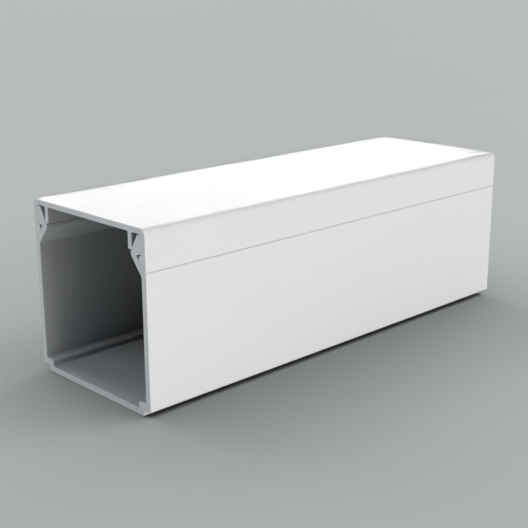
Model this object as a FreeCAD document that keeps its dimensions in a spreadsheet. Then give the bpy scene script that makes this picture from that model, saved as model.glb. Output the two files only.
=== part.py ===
import FreeCAD, Part
import os
import Sketcher

# Square two-piece cable raceway, cut to a short length.
# X runs along the length, Y across, Z up. The origin is the middle of the
# underside, where the floor plate rests on the wall or on a level floor.
# Both pieces are extrusions: one constant section along the whole length.

os.makedirs("parts", exist_ok=True)
doc = FreeCAD.newDocument("raceway")

# ---------------------------------------------------------------- dimensions
# All in millimetres. Half widths are measured from the middle plane.
SIZES = [
    ("length", 120.0),            # sawn length of both extrusions
    ("width", 39.8),              # over the two side walls
    ("height", 40.3),             # floor underside to top of the cover
    # base channel
    ("wall", 1.4),                # side wall
    ("floor_plate", 1.45),        # floor plate
    ("foot_rise", 1.52),          # side walls start this far above the underside
    ("foot_half", 17.5),          # half width of the floor plate's underside
    ("ledge_top", 3.08),          # top of the joggle beside each wall
    ("ledge_half", 16.0),         # inner side of the joggle
    ("seam", 31.08),              # outer wall ends here and the cover starts
    ("neck_half", 17.16),         # outer side of the neck below the snap head
    ("neck_top", 34.2),
    ("notch_half", 16.95),        # root of the slot under the snap head
    ("notch_top", 34.54),
    ("head_half", 18.61),         # outer face of the snap head
    ("shoulder", 34.92),          # lower outer corner of the snap head
    ("head_top", 38.9),           # top of the snap head
    ("tip_inner", 17.45),         # flat at the top of the head, inner end
    ("brow_half", 17.02),         # inner flank of the head, upper break
    ("brow_top", 38.05),
    ("cheek_half", 15.92),        # inner flank of the head, lower break
    ("cheek_top", 36.25),
    ("nose_half", 15.26),         # innermost point of the head
    ("nose_top", 35.05),
    ("nose_low", 34.25),
    ("flank_low", 30.3),          # where the sloping flank meets the wall
    # cover
    ("plate", 1.2),               # thickness of the cover's top
    ("gap", 0.04),                # clearance between cover and base
    ("flange_half", 18.65),       # inner face of the cover's flange
    ("barb_half", 17.8),          # tip of the flange's barb
    ("barb_top", 34.43),          # top of the barb at its tip
    ("barb_root", 34.87),         # top of the barb where it meets the flange
    ("rib_inner", 14.45),         # inner rib, face towards the middle
    ("rib_outer", 15.6),          # inner rib, face towards the snap head
    ("rib_toe", 15.36),           # lower outer corner of the rib
    ("rib_break", 35.86),
    ("rib_low", 35.4),
    # roundings
    ("cover_round", 1.4),         # long outer corners of the cover
    ("cover_inner_round", 0.7),   # inside corner between plate and flange
    ("lip_round", 0.12),
    ("barb_round", 0.2),
    ("rib_round", 0.35),
    ("rib_root_round", 0.3),
    ("nose_round", 0.9),
    ("head_corner_round", 0.5),   # outer top corner of the snap head
    ("tip_round", 0.3),
    ("shoulder_round", 0.12),
    ("seam_round", 0.15),
    ("ledge_round", 0.6),
    ("corner_round", 0.3),
    ("foot_round", 0.1),
    ("edge_round", 0.1),
    ("flank_round", 0.8),
]

sheet = doc.addObject("Spreadsheet::Sheet", "dims")
for row, (alias, value) in enumerate(SIZES, start=1):
    sheet.set("A%d" % row, alias)
    sheet.set("B%d" % row, repr(value))
    sheet.setAlias("B%d" % row, alias)
doc.recompute()


class Size:
    """A length with its number and the formula that gives it from the sheet."""

    def __init__(self, value, text):
        self.value = value
        self.text = text

    def _join(self, other, sign, value):
        return Size(value, "(%s %s %s)" % (self.text, sign, getattr(other, "text", repr(other))))

    def __add__(self, other):
        return self._join(other, "+", self.value + getattr(other, "value", other))

    def __sub__(self, other):
        return self._join(other, "-", self.value - getattr(other, "value", other))

    def __mul__(self, other):
        return self._join(other, "*", self.value * getattr(other, "value", other))

    def __truediv__(self, other):
        return self._join(other, "/", self.value / getattr(other, "value", other))


S = {alias: Size(value, "dims." + alias) for alias, value in SIZES}
AXIS = Size(0.0, "0")


def origin_plane(body, role):
    for feature in body.Origin.OriginFeatures:
        if feature.Role == role:
            return feature
    raise RuntimeError("no plane " + role)


def new_body(name):
    body = doc.addObject("PartDesign::Body", name)
    body.Label = name
    body.Placement = FreeCAD.Placement()
    return body


def half_section(body, name, points):
    """Closed outline of one half of the section, on the body's YZ plane.

    points: (half width, height) pairs. Every corner is held by a horizontal
    and a vertical distance from the origin, bound to the sheet."""
    sketch = body.newObject("Sketcher::SketchObject", name)
    sketch.AttachmentSupport = [(origin_plane(body, "YZ_Plane"), "")]
    sketch.MapMode = "FlatFace"
    count = len(points)
    for i in range(count):
        a, b = points[i], points[(i + 1) % count]
        sketch.addGeometry(
            Part.LineSegment(
                FreeCAD.Vector(a[0].value, a[1].value, 0),
                FreeCAD.Vector(b[0].value, b[1].value, 0),
            ),
            False,
        )
    for i in range(count):
        sketch.addConstraint(Sketcher.Constraint("Coincident", i, 2, (i + 1) % count, 1))
    for i, (half, high) in enumerate(points):
        for kind, size, axis in (("DistanceX", half, -2), ("DistanceY", high, -1)):
            if size is AXIS:
                sketch.addConstraint(Sketcher.Constraint("PointOnObject", i, 1, axis))
                continue
            index = sketch.addConstraint(Sketcher.Constraint(kind, -1, 1, i, 1, size.value))
            sketch.setExpression("Constraints[%d]" % index, size.text)
    doc.recompute()
    return sketch


def extrude(body, sketch, name):
    """Pad to both sides of the middle, then mirror to the other side."""
    pad = body.newObject("PartDesign::Pad", name)
    pad.Profile = sketch
    pad.Midplane = True
    pad.setExpression("Length", "dims.length")
    doc.recompute()
    mirror = body.newObject("PartDesign::Mirrored", name + "_mirror")
    mirror.Originals = [pad]
    mirror.MirrorPlane = (origin_plane(body, "XZ_Plane"), [""])
    mirror.Refine = True
    body.Tip = mirror
    doc.recompute()
    return mirror


def long_edges(shape, corners):
    """Names of the edges along X at the given (half width, height) corners, both sides."""
    names = []
    for half, high in corners:
        for side in (-1, 1):
            best, found = 0.06, None
            for i, edge in enumerate(shape.Edges, start=1):
                if len(edge.Vertexes) != 2:
                    continue
                a, b = edge.Vertexes[0].Point, edge.Vertexes[1].Point
                if abs(a.x - b.x) < 0.5 * S["length"].value:
                    continue
                away = max(abs(a.y - side * half.value), abs(a.z - high.value))
                if away < best:
                    best, found = away, "Edge%d" % i
            if found is None:
                raise RuntimeError("no edge at %.3f, %.3f" % (half.value, high.value))
            names.append(found)
    return names


def round_edges(body, name, size, corners):
    base = body.Tip
    fillet = body.newObject("PartDesign::Fillet", name)
    fillet.Base = (base, long_edges(base.Shape, corners))
    fillet.Radius = size.value
    fillet.setExpression("Radius", size.text)
    body.Tip = fillet
    doc.recompute()
    return fillet


HALF = S["width"] / 2
INNER = HALF - S["wall"]

# ------------------------------------------------------------- base channel
# The floor plate stands on its own underside; beside each wall it is joggled
# up, so the walls end above the surface. Each wall leans in at the top into a
# neck and carries an arrow-shaped snap head.
channel = new_body("base_channel")
FOOT_IN = (S["foot_half"], AXIS)
FOOT_UP = (S["foot_half"], S["foot_rise"])
WALL_LOW = (HALF, S["foot_rise"])
WALL_SEAM = (HALF, S["seam"])
NECK = (S["neck_half"], S["neck_top"])
NOTCH = (S["notch_half"], S["notch_top"])
SHOULDER = (S["head_half"], S["shoulder"])
HEAD_CORNER = (S["head_half"], S["head_top"])
TIP_IN = (S["tip_inner"], S["head_top"])
BROW = (S["brow_half"], S["brow_top"])
CHEEK = (S["cheek_half"], S["cheek_top"])
NOSE_TOP = (S["nose_half"], S["nose_top"])
NOSE_LOW = (S["nose_half"], S["nose_low"])
FLANK = (INNER, S["flank_low"])
WALL_IN = (INNER, S["ledge_top"])
LEDGE = (S["ledge_half"], S["ledge_top"])
LEDGE_LOW = (S["ledge_half"], S["floor_plate"])

section = half_section(channel, "channel_section", [
    (AXIS, AXIS), FOOT_IN, FOOT_UP, WALL_LOW, WALL_SEAM, NECK, NOTCH, SHOULDER,
    HEAD_CORNER, TIP_IN, BROW, CHEEK, NOSE_TOP, NOSE_LOW, FLANK,
    WALL_IN, LEDGE, LEDGE_LOW, (AXIS, S["floor_plate"]),
])
extrude(channel, section, "channel_pad")
round_edges(channel, "nose_fillet", S["nose_round"], [NOSE_LOW])
round_edges(channel, "flank_fillet", S["flank_round"], [FLANK])
round_edges(channel, "ledge_fillet", S["ledge_round"], [LEDGE])
round_edges(channel, "inside_fillet", S["corner_round"], [WALL_IN, LEDGE_LOW])
round_edges(channel, "foot_fillet", S["foot_round"], [FOOT_UP])
round_edges(channel, "edge_fillet", S["edge_round"], [FOOT_IN, WALL_LOW])
round_edges(channel, "head_corner_fillet", S["head_corner_round"], [HEAD_CORNER])
round_edges(channel, "tip_fillet", S["tip_round"], [TIP_IN])
round_edges(channel, "seam_fillet", S["seam_round"], [WALL_SEAM])
round_edges(channel, "shoulder_fillet", S["shoulder_round"], [SHOULDER, NOTCH])

# -------------------------------------------------------------------- cover
# The flange's lower edge follows the base's outer slope at a small clearance
# and ends in a barb that hooks under the snap head. The rib's toe rests
# beside the head's inner flank.
SLOPE = (S["neck_top"] - S["seam"]) / (HALF - S["neck_half"])
DROP = S["gap"] * 1.6
TOP_EDGE = (HALF, S["height"])
LIP_OUT = (HALF, S["seam"] + DROP)
BARB_LOW = (S["barb_half"], (HALF - S["barb_half"]) * SLOPE + S["seam"] + DROP)
BARB_TOP = (S["barb_half"], S["barb_top"])
BARB_ROOT = (S["flange_half"], S["barb_root"])
UNDER = S["height"] - S["plate"]
FLANGE_TOP = (S["flange_half"], UNDER)
RIB_OUT_TOP = (S["rib_outer"], UNDER)
RIB_BREAK = (S["rib_outer"], S["rib_break"])
RIB_TOE = (S["rib_toe"], S["rib_low"])
RIB_IN_LOW = (S["rib_inner"], S["rib_low"])
RIB_IN_TOP = (S["rib_inner"], UNDER)

cover = new_body("lid")
section = half_section(cover, "lid_section", [
    (AXIS, UNDER), RIB_IN_TOP, RIB_IN_LOW, RIB_TOE, RIB_BREAK, RIB_OUT_TOP,
    FLANGE_TOP, BARB_ROOT, BARB_TOP, BARB_LOW, LIP_OUT, TOP_EDGE, (AXIS, S["height"]),
])
extrude(cover, section, "lid_pad")
round_edges(cover, "corner_fillet", S["cover_round"], [TOP_EDGE])
round_edges(cover, "flange_fillet", S["cover_inner_round"], [FLANGE_TOP])
round_edges(cover, "barb_fillet", S["barb_round"], [BARB_LOW, BARB_TOP])
round_edges(cover, "lip_fillet", S["lip_round"], [LIP_OUT])
round_edges(cover, "rib_fillet", S["rib_round"], [RIB_IN_LOW])
round_edges(cover, "rib_root_fillet", S["rib_root_round"], [RIB_IN_TOP, RIB_OUT_TOP])

doc.recompute()

# --------------------------------------------------------- checks and export
for item in doc.Objects:
    if "Invalid" in item.State or "Error" in item.State:
        raise RuntimeError("%s is %s" % (item.Name, item.State))

PIECES = [channel, cover]
for piece in PIECES:
    shape = piece.Shape
    if shape.isNull() or not shape.isValid() or len(shape.Solids) != 1:
        raise RuntimeError("bad shape: " + piece.Label)
    if shape.Volume <= 0:
        raise RuntimeError("no volume: " + piece.Label)
    box = shape.BoundBox
    print("%s  %.1f mm3  x %.2f..%.2f  y %.2f..%.2f  z %.2f..%.2f" % (
        piece.Label, shape.Volume, box.XMin, box.XMax, box.YMin, box.YMax, box.ZMin, box.ZMax))

shared = channel.Shape.common(cover.Shape).Volume
near = channel.Shape.distToShape(cover.Shape)[0]
print("shared volume %.6f mm3, least clearance %.4f mm" % (shared, near))
if shared > 1e-6:
    raise RuntimeError("the cover cuts into the base")

for piece in PIECES:
    piece.Shape.exportStep("parts/%s.step" % piece.Label)
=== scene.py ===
import math

import bpy
from mathutils import Matrix, Vector

# Square two-piece cable raceway in white rigid plastic. X runs along the
# length, the sawn end at -X faces the camera, Z is up. Metres throughout.
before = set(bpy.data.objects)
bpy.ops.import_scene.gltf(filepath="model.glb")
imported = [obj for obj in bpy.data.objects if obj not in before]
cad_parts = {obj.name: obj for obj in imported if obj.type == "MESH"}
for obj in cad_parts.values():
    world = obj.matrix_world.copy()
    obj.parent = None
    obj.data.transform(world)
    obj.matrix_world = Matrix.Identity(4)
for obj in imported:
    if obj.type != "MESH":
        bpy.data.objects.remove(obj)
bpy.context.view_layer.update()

MM = 0.001


# ------------------------------------------------------------------ helpers
class Graph:
    """Short names for building a node material."""

    def __init__(self, name):
        self.mat = bpy.data.materials.new(name)
        self.mat.use_nodes = True
        self.tree = self.mat.node_tree
        self.tree.nodes.clear()
        self.out = self.node("ShaderNodeOutputMaterial")
        self.shader = self.node("ShaderNodeBsdfPrincipled")
        self.link(self.shader.outputs[0], self.out.inputs["Surface"])

    def node(self, kind, **settings):
        n = self.tree.nodes.new(kind)
        for key, value in settings.items():
            setattr(n, key, value)
        return n

    def link(self, a, b):
        self.tree.links.new(a, b)

    def put(self, socket, value):
        if isinstance(value, (int, float)):
            socket.default_value = value
        elif isinstance(value, (tuple, list)):
            socket.default_value = value
        else:
            self.link(value, socket)

    def math(self, op, a, b=0.0, c=None, clamp=False):
        n = self.node("ShaderNodeMath", operation=op, use_clamp=clamp)
        self.put(n.inputs[0], a)
        self.put(n.inputs[1], b)
        if c is not None:
            self.put(n.inputs[2], c)
        return n.outputs[0]

    def range(self, value, a, b, c, d, smooth=False):
        n = self.node("ShaderNodeMapRange", clamp=True)
        if smooth:
            n.interpolation_type = "SMOOTHSTEP"
        self.put(n.inputs["Value"], value)
        for key, number in (("From Min", a), ("From Max", b), ("To Min", c), ("To Max", d)):
            n.inputs[key].default_value = number
        return n.outputs["Result"]

    def vector(self, x, y, z):
        n = self.node("ShaderNodeCombineXYZ")
        self.put(n.inputs[0], x)
        self.put(n.inputs[1], y)
        self.put(n.inputs[2], z)
        return n.outputs[0]

    def noise(self, where, scale, detail=2.0, rough=0.5):
        n = self.node("ShaderNodeTexNoise")
        self.link(where, n.inputs["Vector"])
        n.inputs["Scale"].default_value = scale
        n.inputs["Detail"].default_value = detail
        n.inputs["Roughness"].default_value = rough
        return n.outputs["Fac"]

    def mix(self, factor, a, b):
        n = self.node("ShaderNodeMix", data_type="RGBA")
        self.put(n.inputs[0], factor)
        self.put(n.inputs[6], a)
        self.put(n.inputs[7], b)
        return n.outputs[2]


def plastic(name, tone, offset):
    """White rigid plastic as it leaves the die and the saw.

    Long faces carry faint die lines along X and a slow drift of gloss. The
    sawn ends, the faces that look along X, are duller and cross-scored."""
    g = Graph(name)
    texture = g.node("ShaderNodeTexCoord")
    split = g.node("ShaderNodeSeparateXYZ")
    g.link(texture.outputs["Object"], split.inputs[0])
    x, y, z = split.outputs
    facing = g.node("ShaderNodeSeparateXYZ")
    g.link(texture.outputs["Normal"], facing.inputs[0])
    end = g.range(g.math("ABSOLUTE", facing.outputs[0]), 0.6, 0.9, 0.0, 1.0)

    # across the section and hardly along the length, so features run as lines
    along = g.vector(g.math("MULTIPLY", x, 0.0015), g.math("ADD", y, offset), z)
    fine = g.noise(along, 2600.0, 2.0, 0.55)
    broad = g.noise(along, 300.0, 2.0, 0.5)
    cloud = g.noise(texture.outputs["Object"], 30.0, 3.0, 0.5)
    pores = g.noise(texture.outputs["Object"], 1900.0, 2.0, 0.6)

    # saw marks: shallow arcs of a large blade across the cut
    arc = g.math("SQRT", g.math("ADD",
        g.math("POWER", g.math("ADD", y, 0.11 + offset), 2.0),
        g.math("POWER", g.math("ADD", z, 0.09), 2.0)))
    wobble = g.math("MULTIPLY", g.noise(texture.outputs["Object"], 160.0, 2.0), 0.0011)
    saw = g.noise(g.vector(g.math("ADD", arc, wobble), 0.0, 0.0), 2300.0, 3.0, 0.65)

    # colour: near white with a faint drift; the cut is a little chalkier
    light = tuple(list(tone) + [1.0])
    shade = tuple([c * 0.975 for c in tone] + [1.0])
    cut = (tone[0] * 1.02, tone[1] * 1.025, tone[2] * 1.035, 1.0)
    cut_low = (tone[0] * 0.95, tone[1] * 0.96, tone[2] * 0.975, 1.0)
    skin = g.mix(g.range(cloud, 0.3, 0.72, 0.0, 1.0), light, shade)
    skin = g.mix(g.range(fine, 0.4, 0.8, 0.0, 0.25), skin, shade)
    sawn = g.mix(g.range(saw, 0.35, 0.7, 0.0, 1.0), cut, cut_low)
    g.put(g.shader.inputs["Base Color"], g.mix(end, skin, sawn))

    # gloss: satin on the drawn faces, matt where it was cut
    satin = g.math("ADD",
        g.range(broad, 0.25, 0.75, 0.285, 0.325),
        g.range(cloud, 0.3, 0.7, -0.015, 0.02))
    satin = g.math("ADD", satin, g.range(fine, 0.4, 0.8, 0.0, 0.025))
    rough = g.node("ShaderNodeMix", data_type="FLOAT")
    g.link(end, rough.inputs[0])
    g.link(satin, rough.inputs[2])
    g.link(g.range(saw, 0.3, 0.7, 0.52, 0.68), rough.inputs[3])
    g.put(g.shader.inputs["Roughness"], rough.outputs[0])
    g.shader.inputs["IOR"].default_value = 1.53
    g.shader.inputs["Specular IOR Level"].default_value = 0.5

    # relief in metres: die lines of a fraction of a micron, saw scores of several
    lines = g.math("ADD", g.math("MULTIPLY", fine, 0.00000022), g.math("MULTIPLY", broad, 0.0000015))
    lines = g.math("ADD", lines, g.math("MULTIPLY", pores, 0.0000004))
    scores = g.math("ADD", g.math("MULTIPLY", saw, 0.000012), g.math("MULTIPLY", pores, 0.000004))
    height = g.node("ShaderNodeMix", data_type="FLOAT")
    g.link(end, height.inputs[0])
    g.link(lines, height.inputs[2])
    g.link(scores, height.inputs[3])
    bump = g.node("ShaderNodeBump")
    bump.inputs["Strength"].default_value = 1.0
    bump.inputs["Distance"].default_value = 1.0
    g.link(height.outputs[0], bump.inputs["Height"])
    g.link(bump.outputs[0], g.shader.inputs["Normal"])
    return g.mat


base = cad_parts["base_channel"]
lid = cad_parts["lid"]
base_mat = plastic("white_plastic_base", (0.750, 0.756, 0.757), 0.0)
lid_mat = plastic("white_plastic_lid", (0.752, 0.758, 0.759), 0.37)
for node, mat in ((base, base_mat), (lid, lid_mat)):
    for slot in node.material_slots:
        slot.material = mat

# ---------------------------------------------------------------------- floor
# One wide pale floor, far larger than the view. Its colour is painted darker and
# cooler near the middle, where the raceway stands, and turns lighter from 0.07 to
# 0.17 m out: painted shade around the raceway. It lies a hair below the raceway's
# back face, as under any real cut length, so that a fine dark line shows along
# the foot of the sawn end.
FLOOR_DROP = -0.16 * MM


def floor():
    rings, spokes = (0.0, 0.4, 2.0, 8.0, 30.0), 48
    verts, faces = [(0.0, 0.0, 0.0)], []
    for r in rings[1:]:
        for k in range(spokes):
            a = 2 * math.pi * k / spokes
            verts.append((r * math.cos(a), r * math.sin(a), 0.0))
    for k in range(spokes):
        n = (k + 1) % spokes
        faces.append((0, 1 + k, 1 + n))
        for ring in range(len(rings) - 2):
            i, o = 1 + ring * spokes, 1 + (ring + 1) * spokes
            faces.append((i + k, o + k, o + n, i + n))
    mesh = bpy.data.meshes.new("floor")
    mesh.from_pydata(verts, [], faces)
    obj = bpy.data.objects.new("floor", mesh)
    bpy.context.scene.collection.objects.link(obj)
    obj.location.z = FLOOR_DROP
    g = Graph("floor_paint")
    texture = g.node("ShaderNodeTexCoord")
    tone = g.noise(texture.outputs["Object"], 3.0, 2.0)
    reach = g.node("ShaderNodeVectorMath", operation="LENGTH")
    g.link(texture.outputs["Object"], reach.inputs[0])
    # painted shade: the floor's colour is darker and cooler within 0.07 to 0.17 m of the raceway than further out
    near_painted_shade = g.mix(tone, (0.584, 0.629, 0.618, 1), (0.600, 0.644, 0.633, 1))
    wide = g.mix(tone, (0.646, 0.688, 0.673, 1), (0.662, 0.704, 0.689, 1))
    g.put(g.shader.inputs["Base Color"], g.mix(g.range(reach.outputs["Value"], 0.07, 0.17, 0.0, 1.0, True), near_painted_shade, wide))
    g.shader.inputs["Roughness"].default_value = 0.85
    g.shader.inputs["Specular IOR Level"].default_value = 0.2
    mesh.materials.append(g.mat)
    return obj


ground = floor()

# --------------------------------------------------------------------- lights
# A soft studio of broad, distant panels, each given by where it stands
# (degrees round from +X towards +Y, degrees up), how many degrees it spans,
# its power and its tint. The raceway's own panels are flagged off the floor
# and light it directly: banks behind and overhead whiten the cover, low ones
# stand along both sides, and two above the sawn end light the duct, of which
# only the higher one bounces once inside it. The panels below the horizon
# stand for the soft light that a wide pale floor throws up into the open end
# and onto the side; the floor doesn't shade them. The floor's own panels stand
# mostly behind and overhead, which keeps a soft dark line along the foot of
# the side; they reach the raceway by one bounce.
RACEWAY_PANELS = (
    ("end_mid", 180, 32, 20, 0.212, (1.08, 1.02, 0.92)),
    ("side_low", 270, 5, 40, 0.385, (1.01, 0.985, 0.985)),
    ("side_key", 300, 5, 40, 1.050, (1.01, 0.985, 0.985)),
    ("side_key_high", 300, 22, 40, 1.165, (1.01, 0.985, 0.985)),
    ("side_high", 270, 35, 16, 0.345, (1, 0.985, 0.985)),
    ("back_bank", 45, 40, 46, 0.524, (1, 1, 1)),
    ("back_low", 46, 10, 40, 0.785, (1, 1, 1)),
    ("far_side", 90, 12, 44, 2.188, (1, 1, 1)),
    ("over", 0, 90, 60, 0.375, (1, 1, 1)),
)
END_PANELS = (
    ("end_high", 180, 60, 30, 0.323, (0.84, 0.99, 1.16)),
)
UP_PANELS = (
    ("up_end", 180, -20, 40, 0.381, (0.92, 0.98, 1.07)),
    ("up_side", 270, -30, 40, 0.310, (1.01, 0.99, 0.98)),
    ("up_right", 300, -30, 40, 0.145, (1.01, 0.99, 0.98)),
)
FLOOR_PANELS = (
    ("floor_back", 20, 12, 30, 0.567, (1, 1, 1)),
    ("floor_back_high", 20, 35, 50, 0.100, (1, 1, 1)),
    ("floor_back_left", 60, 10, 30, 0.263, (1, 1, 1)),
    ("floor_left", 90, 40, 40, 0.461, (1, 1, 1)),
    ("floor_far_left", 135, 50, 50, 0.160, (1, 1, 1)),
    ("floor_back_right", 330, 20, 40, 0.361, (1, 1, 1)),
    ("floor_right", 315, 50, 50, 0.449, (1, 1, 1)),
    ("floor_over", 0, 90, 100, 1.085, (1, 1, 1)),
)
MATT_PANELS = ("side_low", "side_key", "side_key_high", "side_high")  # too close to mirror in the rounded edges


def hang(panels, group, receivers, bounces, past_floor=False):
    lit = bpy.data.collections.new(group)
    for obj in receivers:
        lit.objects.link(obj)
    for name, azimuth, height, span, power, tint in panels:
        data = bpy.data.lights.new(name, "SUN")
        data.energy = power
        data.angle = math.radians(span)
        data.color = tint
        data.cycles.max_bounces = bounces
        data.cycles.use_multiple_importance_sampling = False
        lamp = bpy.data.objects.new(name, data)
        bpy.context.scene.collection.objects.link(lamp)
        a, e = math.radians(azimuth), math.radians(height)
        place = Vector((math.cos(a) * math.cos(e), math.sin(a) * math.cos(e), math.sin(e)))
        lamp.location = place
        lamp.rotation_euler = place.to_track_quat("Z", "Y").to_euler()
        lamp.light_linking.receiver_collection = lit
        if past_floor:
            lamp.light_linking.blocker_collection = lit
        lamp.visible_glossy = name not in MATT_PANELS


hang(RACEWAY_PANELS, "lit_raceway", (base, lid), 0)
hang(END_PANELS, "lit_at_the_end", (base, lid), 1)
hang(UP_PANELS, "lit_from_below", (base, lid), 0, past_floor=True)
hang(FLOOR_PANELS, "lit_floor", (ground,), 1)

# behind the floor's edge only a plain tone, which lights nothing
world = bpy.data.worlds.new("studio")
world.use_nodes = True
world.node_tree.nodes["Background"].inputs[0].default_value = (0.474, 0.503, 0.491, 1)
world.node_tree.nodes["Background"].inputs[1].default_value = 1.0
for ray in ("diffuse", "glossy", "transmission", "scatter"):
    setattr(world.cycles_visibility, ray, False)
bpy.context.scene.world = world

# --------------------------------------------------------------------- camera
# Solved from the photograph's straight edges: 44 degrees round from the side,
# 16 degrees up, close enough for strong perspective.
AZ, EL, ROLL = math.radians(-44.033), math.radians(16.229), math.radians(-0.164)
FOCAL_PX, FRAME_PX = 1034.8, 528.0
back = Vector((math.sin(AZ) * math.cos(EL), -math.cos(AZ) * math.cos(EL), math.sin(EL)))
right = (-back).cross(Vector((0, 0, 1))).normalized()
up = right.cross(-back)
r2 = math.cos(ROLL) * right + math.sin(ROLL) * up
u2 = -math.sin(ROLL) * right + math.cos(ROLL) * up
camera_data = bpy.data.cameras.new("camera")
camera_data.sensor_fit = "HORIZONTAL"
camera_data.sensor_width = 36.0
camera_data.lens = FOCAL_PX / FRAME_PX * 36.0
camera_data.clip_start = 0.01
camera_data.clip_end = 50.0
camera = bpy.data.objects.new("camera", camera_data)
bpy.context.scene.collection.objects.link(camera)
turn = Matrix((r2, u2, back)).transposed().to_4x4()
camera.matrix_world = Matrix.Translation(Vector((-179.06, -176.60, 90.15)) * MM) @ turn
bpy.context.scene.camera = camera

view = bpy.context.scene.view_settings
view.view_transform = "Standard"
view.look = "None"
view.exposure = 0.0
view.gamma = 1.0
